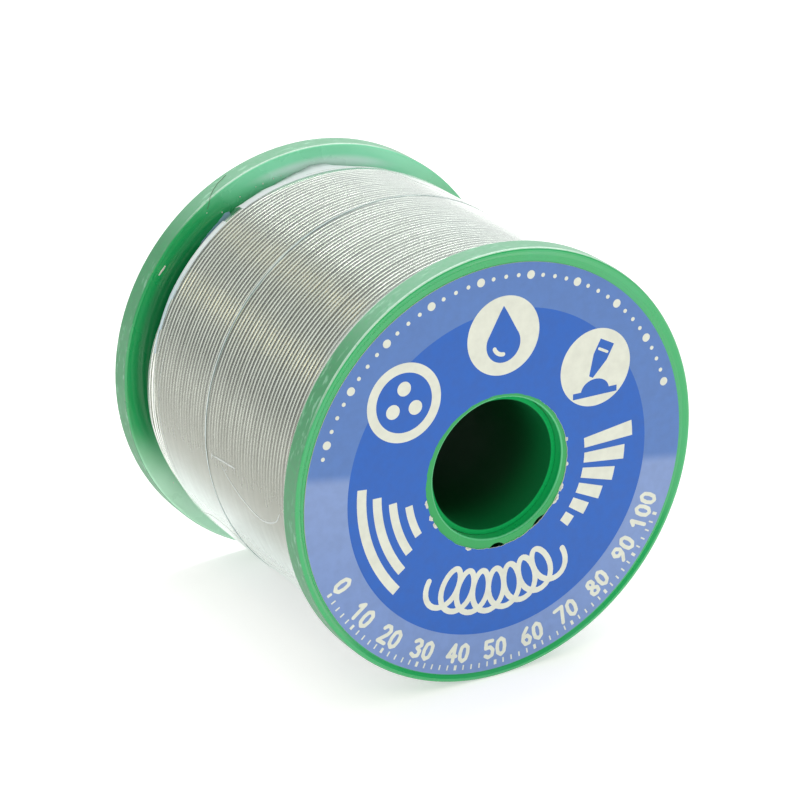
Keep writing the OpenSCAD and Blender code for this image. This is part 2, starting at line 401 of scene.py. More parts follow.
@dataclass(frozen=True)
class CoatedPaper(Finish):
    """Coated label paper printed with flat ink: smooth, with a satin shine, faint dents from
    what lies under it, and pinholes where the ink is rubbed."""

    colour: str = "#3C69C8"
    hazed: str | None = None
    speck: str = "#B9C3DD"
    roughness: float = 0.4
    mottle_mm: float = 1.4

    def shader(self, add: Nodes) -> Socket:
        """One ink, faintly mottled, and hazed below a slanting line if it has a haze."""
        colour = add.blend(0.0, self.colour, self.colour)
        if self.hazed:
            drop = add.along((-0.154, 0, -0.988))
            fog = add.calculate("SUBTRACT", add.fade(drop, -1.0, 0.9, 0.0, 0.75),
                                add.fade(drop, 2, 22, 0.0, 0.22))
            colour = add.blend(fog, colour, self.hazed)
        mottle = add.noise(self.mottle_mm, 5.0)
        colour = add.out("Color", "HueSaturation", {
            "Color": colour, "Value": add.ramp(mottle, 0.2, 0.8, 0.94, 1.06)})
        specks = add.flecks(3.2, (0.03, 0.06), "Green", (0.8, 0.82), 0.8)
        return add.out("BSDF", "BsdfPrincipled", {
            "Base Color": add.blend(specks, colour, self.speck), "IOR": 1.5,
            "Normal": add.bump(add.noise(2.6, 3.0), 0.25, 0.12),
            "Roughness": add.ramp(mottle, 0.3, 0.7, self.roughness - 0.05, self.roughness + 0.07)})


@dataclass(frozen=True)
class DrawnSolder(Finish):
    """Drawn tin alloy wire: a soft satin metal, a little duller in patches. On the winding
    the hollows between the turns are painted dark, as shade."""

    colour: str = "#F3F5F0"
    dull: str = "#E5E8E1"
    painted_hollow_shade: str = "#6B6E62"
    roughness: float = 0.22
    wound: bool = True

    def shader(self, add: Nodes) -> Socket:
        """Pale metal, with painted shade in the hollows where a crest value says so."""
        drawn = add.noise(0.6, 4.0, (0.12, 1, 1), add.unrolled())
        colour = add.blend(add.ramp(drawn, 0.35, 0.7), self.colour, self.dull)
        if self.wound:
            # Painted shade in the hollows between the turns, where the crest value falls
            crest = add.out("Fac", "Attribute", attribute_name="crest")
            depth = add.times(add.ramp(crest, 0.9, 0.62), add.ramp(drawn, 0.3, 0.6, 0.8, 1.0))
            colour = add.blend(depth, colour, self.painted_hollow_shade)
        rough = add.ramp(drawn, 0.3, 0.7, self.roughness - 0.03, self.roughness + 0.05)
        return add.out("BSDF", "BsdfPrincipled", {
            "Base Color": colour, "Metallic": 1.0, "Roughness": rough})


@dataclass(frozen=True)
class StretchFilm(Finish):
    """Clear stretch film, a few layers thick: it mirrors the room more the flatter it is
    seen, and where it has not drawn tight it is milky, in streaks along the wrap."""

    milk: str = "#EAF8F5"
    painted_shade_milk: str = "#A2A291"
    gloss: str = "#EEF2F0"
    tint: str = "#F7FAF6"
    clear_share: float = 0.02
    milky_share: float = 0.4
    far_share: float = 0.55
    foot_share: float = 0.35
    roughness: float = 0.16
    shine: float = 1.6
    tight_angle: float = 134
    painted_shade_angle: float = 172
    # Each milkier side: its angle, from where and to where it grows, and how much milk it adds; the
    # one on top, at 93 degrees, is partly a painted reflection of the white room
    milk_and_reflection_sides: tuple = ((250, 6, 22, 0.2), (93, 25, 29.6, 0.15), (190, 23, 29.5, 0.25))

    def milkiness(self, add: Nodes) -> Socket:
        """How milky the film is: clear where it is tight, and clearer at the rear flange."""
        side = add.towards(self.tight_angle)
        loose = add.times(add.fade(side, 28.5, 16.0), add.fade(side, -20, 5, self.far_share, 1.0),
                          add.fade(add.along((0.5, 0, 0.866)), 18, 28, 1.0, 0.68))
        loose = add.calculate("MAXIMUM", loose, add.fade(add.along((0, -1, 0)), 19.8, 22.6))
        streaks = add.noise(1.5, 5.0, (0.15, 1, 1), add.unrolled())
        loose = add.times(loose, add.ramp(streaks, 0.3, 0.7, 0.72, 1.0))
        share = add.out("Result", "MapRange", {"Value": loose, "To Min": self.clear_share,
                                               "To Max": self.milky_share})
        for degrees, start, end, more in self.milk_and_reflection_sides:
            share = add.calculate("ADD", share, add.fade(add.towards(degrees), start, end, 0.0, more))
        return add.times(share, add.fade(add.along((0, 1, 0)), 21.6, 23.9, 1.0, self.foot_share))

    def shader(self, add: Nodes) -> Socket:
        """A clear sheet with a milky share, under a mirror that grows at a flat angle; its milk
        is painted darker on the left side, as shade.
        """
        # The milk is painted darker on the left side, as shade
        side_shade = add.fade(add.towards(self.painted_shade_angle), 24, 29.4)
        cast = {"Color": add.blend(side_shade, self.milk, self.painted_shade_milk)}
        milk = add.out("Shader", "MixShader", {0: 0.12, 1: add.out("BSDF", "BsdfDiffuse", cast),
                                               2: add.out("BSDF", "BsdfTranslucent", cast)})
        clear = add.out("BSDF", "BsdfTransparent", {"Color": linear(self.tint)})
        sheet = add.out("Shader", "MixShader", {0: self.milkiness(add), 1: clear, 2: milk})
        ripple = add.noise(1.6, 3.0, (0.4, 1.5, 1), add.unrolled())
        normal = add.bump(ripple, 0.2, 0.1)
        mirror = add.out("BSDF", "BsdfGlossy", {
            "Color": linear(self.gloss), "Roughness": self.roughness, "Normal": normal})
        # Both faces of the sheet mirror, so a shine near 2 is a whole clean sheet
        both = add.times(add.out("Fac", "Fresnel", {"IOR": 1.5, "Normal": normal}), self.shine)
        return add.out("Shader", "MixShader", {0: both, 1: sheet, 2: mirror})


@dataclass(frozen=True)
class Clouded(Finish):
    """A finish with one shine, and two colours in soft patches."""

    colour: str
    cloudy: str
    cloud_mm: float
    roughness: float
    ior: float

    def shader(self, add: Nodes) -> Socket:
        """One colour, clouded with the other."""
        return add.out("BSDF", "BsdfPrincipled", {
            "Base Color": add.blend(add.noise(self.cloud_mm), self.colour, self.cloudy),
            "Roughness": self.roughness, "IOR": self.ior})


@dataclass(frozen=True)
class Rosin(Clouded):
    """Flux rosin: a clear amber resin, cloudy in depth, with a glassy break."""

    colour: str = "#C98B2E"
    cloudy: str = "#E0B25A"
    cloud_mm: float = 0.15
    roughness: float = 0.2
    ior: float = 1.54


@dataclass(frozen=True)
class Fibre(Clouded):
    """A hair or textile fibre: dark and uneven, with a soft shine."""

    colour: str = "#46523F"
    cloudy: str = "#66725C"
    cloud_mm: float = 0.6
    roughness: float = 0.5
    ior: float = 1.55


@dataclass(frozen=True)
class StudioPaper(Finish):
    """White backdrop paper on a light table: it glows evenly and keeps a soft shadow."""

    colour: str = "#E8E8E8"
    lift: float = 0.3
    seen_lift: float = 0.14

    def shader(self, add: Nodes) -> Socket:
        """Matte white with an even glow through it."""
        rays = add_node(add.tree, "LightPath").outputs
        seen = add.calculate("MAXIMUM", rays["Is Camera Ray"], rays["Is Glossy Ray"])
        seen = add.calculate("MAXIMUM", seen, rays["Is Transmission Ray"])
        lift = add.out("Value", "Math", {0: seen, 1: self.seen_lift, 2: self.lift},
                       operation="MULTIPLY_ADD")
        glow = add.out("Emission", "Emission", {"Color": linear(WHITE), "Strength": lift})
        paper = add.out("BSDF", "BsdfDiffuse", {"Color": linear(self.colour)})
        return add.out("Shader", "AddShader", {0: paper, 1: glow})


GREEN = MouldedStyrene("moulded_styrene_green")
GREEN_CORE = CoreStyrene("moulded_styrene_core")
DEEP_BLUE = CoatedPaper("label_deep_blue_ink", colour="#165EBB")
PALE_BLUE = CoatedPaper("label_pale_blue_ink", colour="#547BBC", hazed="#8CA2D0")
BARE_PAPER = CoatedPaper("label_bare_paper", colour="#DFE2D3", speck="#9AA6BE")
TORN_PAPER = CoatedPaper("label_torn_paper", colour="#DCDDD0", speck="#B8B49A", roughness=0.8)
SOLDER = DrawnSolder("wound_solder")
SOLDER_END = DrawnSolder("drawn_solder", wound=False)
FLUX = Rosin("flux_rosin")
HAIR = Fibre("dark_fibre")
FILM = StretchFilm("stretch_film")
FILM_EDGE = StretchFilm("stretch_film_edge", milk="#B9D8D6", painted_shade_milk="#A6C0C2", tint="#E4F2F0",
                        clear_share=0.3, milky_share=0.3, roughness=0.3, shine=0.6)
FILM_CREASE = StretchFilm("stretch_film_crease", milk="#EDF1F0", painted_shade_milk="#D3D9DA",
                          clear_share=0.03, milky_share=0.09, roughness=0.4, shine=0.4)
FILM_GATHERED = StretchFilm("stretch_film_gathered", milk="#F4FAFD", painted_shade_milk="#C9DCE8",
                            tint="#E6F3F7", clear_share=0.7, milky_share=0.6, roughness=0.5,
                            shine=0.35)
FILM_STRIP = StretchFilm("stretch_film_strip", milk="#B4E6FF", painted_shade_milk="#B4E6FF", tint="#CFE6F0",
                         clear_share=0.95, milky_share=0.95, foot_share=1.0, roughness=0.3, shine=0.8)
STUDIO = StudioPaper("studio_paper")


# ---------------------------------------------------------------- meshes

def polar(radius: Points | float, y: Points | float, angle: Points | float) -> Points:
    """Points round the spool's axis, at an angle in degrees from +X towards +Z."""
    radius, y, angle = np.broadcast_arrays(radius, y, np.radians(angle))
    return np.stack([radius * np.cos(angle), y, radius * np.sin(angle)], -1)


def smooth_step(value: Points | float, start: float, end: float) -> Points:
    """Goes smoothly from 0 at start to 1 at end."""
    t = np.clip((np.asarray(value, float) - start) / (end - start), 0, 1)
    return t * t * (3 - 2 * t)


def wobble(place: Points, wave: float, seed: int) -> Points:
    """A soft irregular wave from -1 to 1 whose humps are about as long as asked.

    Args:
        place: where along the wave each value is wanted.
        wave: the length of a hump.
        seed: picks one such wave.

    Returns:
        A value for each place.
    """
    rng = np.random.default_rng(seed)
    total = np.zeros_like(np.asarray(place, float))
    for share, stretch in ((0.5, 1.0), (0.3, 0.53), (0.2, 0.29)):
        total += share * np.sin(place / (wave * stretch) * math.pi + rng.uniform(0, 2 * math.pi))
    return total


def swell(places: Points, power: float) -> Points:
    """Goes from 0 to 1 and back to 0 over a run of places, more bluntly for a low power."""
    return np.sin((places - places[0]) / (places[-1] - places[0]) * math.pi) ** power


def read(course: Sequence[Spot], place: Points | float) -> Points:
    """Reads a course of places and values at some places."""
    return np.interp(place, *np.array(course).T)


def sunk(angle: Points, y: Points) -> Points:
    """How far the winding's last turns have sunk in: all round but at the upper left."""
    angle = np.mod(angle, 360)
    firm = smooth_step(angle, 95, 122) * (1 - smooth_step(angle, 185, 215))
    return SINK_MM * (1 - firm) * smooth_step(y, 17.0, 20.4)


def rounded(course: Points, pieces: int = 12) -> Points:
    """A smooth course through a few places, by Catmull and Rom's blend."""
    ends = np.concatenate([2 * course[:1] - course[1:2], course, 2 * course[-1:] - course[-2:-1]])
    t = np.arange(pieces)[:, None] / pieces
    runs = [0.5 * (2 * b + (c - a) * t + (2 * a - 5 * b + 4 * c - d) * t ** 2
                   + (3 * b - a - 3 * c + d) * t ** 3)
            for a, b, c, d in zip(ends, ends[1:], ends[2:], ends[3:])]
    return np.concatenate(runs + [course[-1:]])


def grid_faces(rows: int, columns: int, close_rows: bool = False,
               close_columns: bool = False) -> Points:
    """Quads over a grid of points that are numbered row by row."""
    i, j = np.meshgrid(np.arange(rows - (not close_rows)),
                       np.arange(columns - (not close_columns)), indexing="ij")
    a, b = i * columns + j, i * columns + (j + 1) % columns
    down = ((i + 1) % rows) * columns
    return np.stack([a, b, down + (j + 1) % columns, down + j], -1).reshape(-1, 4)


def placed(name: str, data: bpy.types.ID) -> bpy.types.Object:
    """Makes an object from its data and puts it in the scene."""
    made = bpy.data.objects.new(name, data)
    bpy.context.scene.collection.objects.link(made)
    return made


def make_piece(name: str, points: Points, faces: Points | list, finishes: Sequence[Finish],
               record_slot: str, slots: Sequence[int] | None = None, smooth: bool = True,
               marks: dict[str, Points] | None = None) -> bpy.types.Object:
    """Makes one piece from points in millimetres.

    Args:
        name: the piece's name.
        points: its points, three numbers each.
        faces: its faces, as point numbers.
        finishes: the finish of each material slot.
        record_slot: not used.
        slots: the slot of each face, if there are several.
        smooth: whether it is shaded smooth.
        marks: values to keep with its points, by name.

    Returns:
        The object, riding on the spool.
    """
    mesh = bpy.data.meshes.new(name)
    listed = faces.tolist() if isinstance(faces, np.ndarray) else faces
    mesh.from_pydata((np.asarray(points).reshape(-1, 3) * MM).tolist(), [], listed)
    for finish in finishes:
        mesh.materials.append(finish.material())
    if slots is not None:
        mesh.polygons.foreach_set("material_index", np.asarray(slots, dtype=np.int32))
    mesh.polygons.foreach_set("use_smooth", np.full(len(mesh.polygons), smooth))
    for mark, values in (marks or {}).items():
        mesh.attributes.new(mark, "FLOAT", "POINT").data.foreach_set(
            "value", np.asarray(values, dtype=np.float32).ravel())
    mesh.update()
    piece = placed(name, mesh)
    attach(piece, BODY)
    log.info("made %s, %d faces", name, len(mesh.polygons))
    return piece


def dress(node: str, finish: Finish) -> None:
    """Puts a finish on a CAD node that keeps its own shape."""
    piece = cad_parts[node]
    piece.data.materials.clear()
    piece.data.materials.append(finish.material())


def bead(path: Points, outward: Points, width: Points | float, height: Points | float,
         sides: int) -> Mesh:
    """A flattened cord along a path, closed at both ends.

    Args:
        path: points along its middle.
        outward: the direction of its height at each of them.
        width: its width there.
        height: its height there.
        sides: points round it.

    Returns:
        Its points and its faces.
    """
    ahead = np.gradient(path, axis=0)
    across = np.cross(ahead, outward)
    across /= np.linalg.norm(across, axis=1, keepdims=True)
    turn = np.arange(sides) / sides * 2 * math.pi
    width, height = (np.broadcast_to(v, len(path))[:, None, None] / 2 for v in (width, height))
    points = (path[:, None] + across[:, None] * np.cos(turn)[None, :, None] * width
              + outward[:, None] * np.sin(turn)[None, :, None] * height)
    faces = grid_faces(len(path), sides, close_columns=True).tolist()
    last = (len(path) - 1) * sides
    faces += [list(range(sides))[::-1], [last + i for i in range(sides)]]
    return points.reshape(-1, 3), faces


def joined(parts: Sequence[Mesh]) -> Mesh:
    """Puts several meshes into one."""
    points, faces, count = [], [], 0
    for part_points, part_faces in parts:
        points.append(part_points)
        faces += [[i + count for i in face] for face in part_faces]
        count += len(part_points)
    return np.concatenate(points), faces


# ---------------------------------------------------------------- flat print

class Ink(Enum):
    """What a spot of the label is covered with; the value is its material slot."""

    DEEP = 0
    PALE = 1
    BARE = 2
    TORN = 3


def circle(x: float, z: float, radius: float, sides: int = 48) -> Outline:
    """A disc's outline."""
    return [(x + radius * math.cos(2 * math.pi * i / sides),
             z + radius * math.sin(2 * math.pi * i / sides)) for i in range(sides)]


def spot(reach: float, degrees: float) -> Spot:
    """The spot at a distance and an angle from the middle."""
    return reach * math.cos(math.radians(degrees)), reach * math.sin(math.radians(degrees))


def arc(reach: float, degrees: Sequence[float], rise: float = 0.0, tall: float = 1.0) -> Outline:
    """Spots along an arc, which can be raised and stretched to a height."""
    return [(x, z * tall + rise) for x, z in (spot(reach, a) for a in degrees)]


def sector(inner: float, outer: float, first: float, last: float) -> Outline:
    """The outline of a piece of a ring between two angles."""
    angles = np.linspace(first, last, max(2, math.ceil((last - first) / ARC_STEP) + 1))
    return arc(outer, angles) + arc(inner, angles[::-1])


def stroke(path: Outline, width: float, sides: int = 10) -> list[Outline]:
    """The outlines of a pen stroke with round ends and corners."""
    shapes = [circle(x, z, width / 2, sides) for x, z in path]
    for (x0, z0), (x1, z1) in zip(path, path[1:]):
        length = math.hypot(x1 - x0, z1 - z0)
        ox, oz = -(z1 - z0) / length * width / 2, (x1 - x0) / length * width / 2
        shapes.append([(x0 - ox, z0 - oz), (x1 - ox, z1 - oz), (x1 + ox, z1 + oz), (x0 + ox, z0 + oz)])
    return shapes


def moved(shapes: Sequence[Outline], x: float, z: float, turn: float = 0.0) -> list[Outline]:
    """Turns outlines by an angle in degrees and moves them."""
    c, s = math.cos(math.radians(turn)), math.sin(math.radians(turn))
    return [[(x + c * px - s * pz, z + s * px + c * pz) for px, pz in shape] for shape in shapes]


DIGITS: dict[str, Outline] = {
    "0": [(0.5, 0), (0.18, 0.25), (0.1, 0.8), (0.18, 1.35), (0.5, 1.6), (0.82, 1.35), (0.9, 0.8),
          (0.82, 0.25), (0.5, 0)],
    "1": [(0.2, 1.2), (0.55, 1.6), (0.55, 0)],
    "2": [(0.1, 1.25), (0.3, 1.55), (0.65, 1.58), (0.88, 1.25), (0.75, 0.85), (0.1, 0), (0.92, 0)],
    "3": [(0.12, 1.4), (0.4, 1.6), (0.75, 1.5), (0.85, 1.15), (0.5, 0.85), (0.88, 0.6),
          (0.82, 0.15), (0.45, 0), (0.1, 0.2)],
    "4": [(0.7, 0), (0.7, 1.6), (0.05, 0.5), (0.95, 0.5)],
    "5": [(0.85, 1.6), (0.2, 1.6), (0.15, 0.95), (0.6, 1.0), (0.9, 0.65), (0.8, 0.15), (0.4, 0),
          (0.1, 0.2)],
    "6": [(0.75, 1.6), (0.3, 1.1), (0.1, 0.5), (0.3, 0.05), (0.7, 0.03), (0.9, 0.45), (0.65, 0.85),
          (0.2, 0.75)],
    "7": [(0.08, 1.6), (0.92, 1.6), (0.4, 0)],
    "8": [(0.5, 0.85), (0.2, 1.1), (0.25, 1.5), (0.5, 1.6), (0.75, 1.5), (0.8, 1.1), (0.5, 0.85),
          (0.12, 0.5), (0.2, 0.1), (0.5, 0), (0.8, 0.1), (0.88, 0.5), (0.5, 0.85)],
    "9": [(0.25, 0), (0.7, 0.5), (0.9, 1.1), (0.7, 1.55), (0.3, 1.57), (0.1, 1.15), (0.35, 0.75),
          (0.8, 0.85)],
}


@dataclass
class RingLabel:
    """The printed ring label: two blues, three round badges, a coil, bars and a dial."""

    outer_r: float = 30.1
    hole_r: float = 11.375
    middle: Spot = (-0.15, -0.4)
    face_y: float = -27.45
    seat_y: float = -27.3
    disc_r: float = 23.9
    disc_middle: Spot = (0.35, -0.3)
    badge_r: float = 5.7
    badge_reach: float = 19.9
    badge_angles: tuple[float, float, float] = (138.0, 88.0, 38.0)
    drop_rise: float = -1.2
    iron_turn: float = -28
    dial_first: float = 205.0
    dial_step: float = 13.0
    digit_mm: float = 1.55
    digit_reach: float = 28.15
    digit_pen: float = 0.58
    tick_reach: Spot = (28.75, 29.5)
    dot_reach: float = 28.3
    # Each torn place: from where to where, how deep, and its random seed
    tears: tuple = ((189, 195, 0.35, 1), (201, 206, 0.4, 2), (208, 213, 0.35, 7),
                    (244, 249, 0.35, 3), (323, 331, 0.45, 4), (333, 339, 0.35, 8),
                    (11, 14, 0.3, 5), (352, 355, 0.2, 6))
    # Each shred that stands up: from where to where, its reach and lift, and its random seed
    shreds: tuple = ((190, 195, 0.3, 0.2, 21), (201, 205.5, 0.4, 0.25, 22),
                     (208, 213, 0.35, 0.2, 23), (244.5, 248, 0.3, 0.2, 24),
                     (325, 329, 0.35, 0.2, 25), (333, 337, 0.3, 0.18, 26),
                     (11, 13.5, 0.25, 0.15, 27))
    shred_grid: tuple[int, int] = (5, 16)
    shapes: list[tuple[Ink, Outline]] = field(default_factory=list)

    def paint(self, ink: Ink, shapes: Sequence[Outline]) -> None:
        """Lays shapes over what is there."""
        self.shapes += [(ink, shape) for shape in shapes]

    def wire_badge(self, x: float, z: float) -> None:
        """The cut end of a wire that has three flux cores."""
        self.paint(Ink.DEEP, [circle(x, z, 4.3, 64)])
        self.paint(Ink.BARE, [circle(x + dx, z + dz, 1.05, 28)
                              for dx, dz in arc(2.0, (90, 210, 330))])

    def drop_badge(self, x: float, z: float) -> None:
        """A drop with a glint."""
        drop = arc(2.7, np.linspace(-215, 35, 36), self.drop_rise)
        self.paint(Ink.DEEP, moved([drop + [(0.55, 3.4), (0.0, 4.3), (-0.55, 3.4)]], x, z))
        glint = stroke(arc(1.5, range(200, 271, 14), self.drop_rise), 0.6)
        self.paint(Ink.BARE, moved(glint, x, z))

    def iron_badge(self, x: float, z: float) -> None:
        """A soldering iron's tip over a joint."""
        tip = [(-0.35, -1.5), (0.35, -1.5), (1.25, 1.6), (1.25, 4.0), (-1.25, 4.0), (-1.25, 1.6)]
        dome = [(2.3 * math.cos(math.radians(a)), -3.5 + 1.8 * math.sin(math.radians(a)))
                for a in range(0, 181, 12)]
        base = [(-3.6, -4.2), (3.6, -4.2), (3.6, -3.3), (-3.6, -3.3)]
        self.paint(Ink.DEEP, moved([tip], x, z, self.iron_turn) + moved([dome, base], x, z))
        band = stroke([(-0.75, 2.6), (0.75, 2.6)], 0.4)
        self.paint(Ink.BARE, moved(band, x, z, self.iron_turn))

    def coil(self) -> None:
        """A bold coil of wire along the bottom of the inner disc."""
        reach, loops = 17.7, 7
        path = []
        for t in np.linspace(-0.25, loops + 0.25, 26 * loops):
            angle = 2 * math.pi * t
            run = (t - loops / 2) * 2.6 + 1.9 * math.sin(angle)
            place = math.radians(270) + run / reach
            r = reach + 3.1 * math.cos(angle)
            path.append((r * math.cos(place), r * math.sin(place)))
        self.paint(Ink.BARE, stroke(path, 0.85, 8))

    def bars(self) -> None:
        """Growing bars at the right, and growing arcs at the left."""
        for i, angle in enumerate((-40, -31, -22, -13, -4, 5)):
            self.paint(Ink.BARE, [sector(14.2, 15.9 + 1.25 * i, angle - 3.0, angle + 3.0)])
        for i in range(4):
            inner, half = 13.6 + 2.35 * i, 10 + 4.5 * i
            self.paint(Ink.BARE, [sector(inner, inner + 1.15 + 0.1 * i, 198 - half, 198 + half)])

    def dial(self) -> None:
        """A dial in tens along the lower part of the outer ring, dots along the upper."""
        for i in range(11):
            angle = self.dial_first + i * self.dial_step
            text = str(10 * i)
            width = self.digit_mm * 1.25
            for place, digit in enumerate(text):
                glyph = stroke([(px * self.digit_mm, pz * self.digit_mm)
                                for px, pz in DIGITS[digit]], self.digit_pen)
                glyph = moved(glyph, (place - len(text) / 2) * width + 0.15, 0)
                self.paint(Ink.BARE, moved(glyph, *spot(self.digit_reach, angle), angle + 90))
        for i in range(51):
            angle = self.dial_first + i * self.dial_step / 5
            half = 0.42 if i % 5 == 0 else 0.22
            self.paint(Ink.BARE, [sector(*self.tick_reach, angle - half, angle + half)])
        self.paint(Ink.BARE, [circle(*spot(self.dot_reach, angle), 0.62 if i % 4 == 0 else 0.3, 16)
                              for i, angle in enumerate(range(16, 165, 4))])

    def torn(self) -> None:
        """Places at the hole where the print has come away with the paper's face."""
        for first, last, depth, seed in self.tears:
            angles = np.linspace(first, last, max(6, int((last - first) * 1.6)))
            ragged = 0.72 + 0.28 * wobble(angles, 1.5, seed)
            reach = self.hole_r + 0.12 + depth * swell(angles, 0.5) * ragged
            edge = [spot(r, a) for r, a in zip(reach, angles)]
            self.paint(Ink.TORN, [edge + arc(self.hole_r - 0.3, angles[::-1])])

    def sheet(self) -> bpy.types.Object:
        """Cuts the label's face along all outlines, so that each spot has its ink."""
        disc = moved([circle(0, 0, self.disc_r, 180)], *self.disc_middle)
        angles = np.linspace(0, 360, 180, endpoint=False)
        ragged = self.hole_r + 0.07 * wobble(angles, 9.0, 11) + 0.04 * wobble(angles, 2.5, 12)
        hole = [spot(r, a) for r, a in zip(ragged, angles)]
        layers = [(Ink.PALE, circle(0, 0, self.outer_r, 240)), (Ink.DEEP, disc[0])]
        layers += self.shapes + [(None, hole)]
        points, faces = [], []
        for _, outline in layers:
            area = sum(x0 * z1 - x1 * z0 for (x0, z0), (x1, z1) in
                       zip(outline, outline[1:] + outline[:1]))
            faces.append(list(range(len(points), len(points) + len(outline))))
            points += [Vector(p) for p in (outline if area > 0 else outline[::-1])]
        flat, _, cut, _, _, sources = delaunay_2d_cdt(points, [], faces, 1, 1e-4)
        kept = [(face, layers[max(source)][0]) for face, source in zip(cut, sources)
                if source and layers[max(source)][0]]
        top = [(p.x + self.middle[0], self.face_y, p.y + self.middle[1]) for p in flat]
        edges: dict[tuple[int, int], None] = {}
        for face, _ in kept:
            for a, b in zip(face, list(face[1:]) + [face[0]]):
                if (b, a) in edges:
                    del edges[b, a]
                else:
                    edges[a, b] = None
        base = len(top)
        under = [(x, self.seat_y, z) for x, _, z in top]
        sides = [[b, a, a + base, b + base] for a, b in edges]
        return make_piece("label", np.array(top + under), [list(f) for f, _ in kept] + sides,
                          [DEEP_BLUE, PALE_BLUE, BARE_PAPER, TORN_PAPER], "label_paper",
                          [ink.value for _, ink in kept] + [Ink.TORN.value] * len(sides), False)

    def curls(self) -> bpy.types.Object:
        """Shreds of paper that stand up round the hole."""
        rows, columns = self.shred_grid
        number = np.arange(rows * columns).reshape(rows, columns)
        rim = [*number[0], *number[1:, -1], *number[-1, -2::-1], *number[-2:0:-1, 0]]
        count = number.size
        faces = grid_faces(rows, columns)
        faces = (faces.tolist() + (faces[:, ::-1] + count).tolist()
                 + [[a, b, b + count, a + count] for a, b in zip(rim, rim[1:] + rim[:1])])
        parts = []
        for first, last, reach, lift, seed in self.shreds:
            angles = np.linspace(first, last, columns)
            hump = swell(angles, 0.6)
            ragged = 0.75 + 0.25 * wobble(angles, 0.9, seed)
            front = np.concatenate([
                polar(self.hole_r + 0.25 - t * reach * hump * ragged,
                      self.face_y - 0.02 - lift * hump * math.sin(t * 2.0) * ragged, angles)
                for t in np.linspace(0, 1, rows)]) + np.array([self.middle[0], 0, self.middle[1]])
            parts.append((np.concatenate([front, front + np.array([0, 0.06, 0])]), faces))
        return make_piece("label_torn_shreds", *joined(parts), [TORN_PAPER], "label_paper")

    def build(self) -> None:
        """Prints and lays the label."""
        badges = (self.wire_badge, self.drop_badge, self.iron_badge)
        for badge, degrees in zip(badges, self.badge_angles):
            middle = spot(self.badge_reach, degrees)
            self.paint(Ink.BARE, [circle(*middle, self.badge_r, 96)])
            badge(*middle)
        self.coil()
        self.bars()
        self.dial()
        self.torn()
        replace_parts(self.sheet(), "front_label")
        self.curls()


# ---------------------------------------------------------------- sub-assemblies

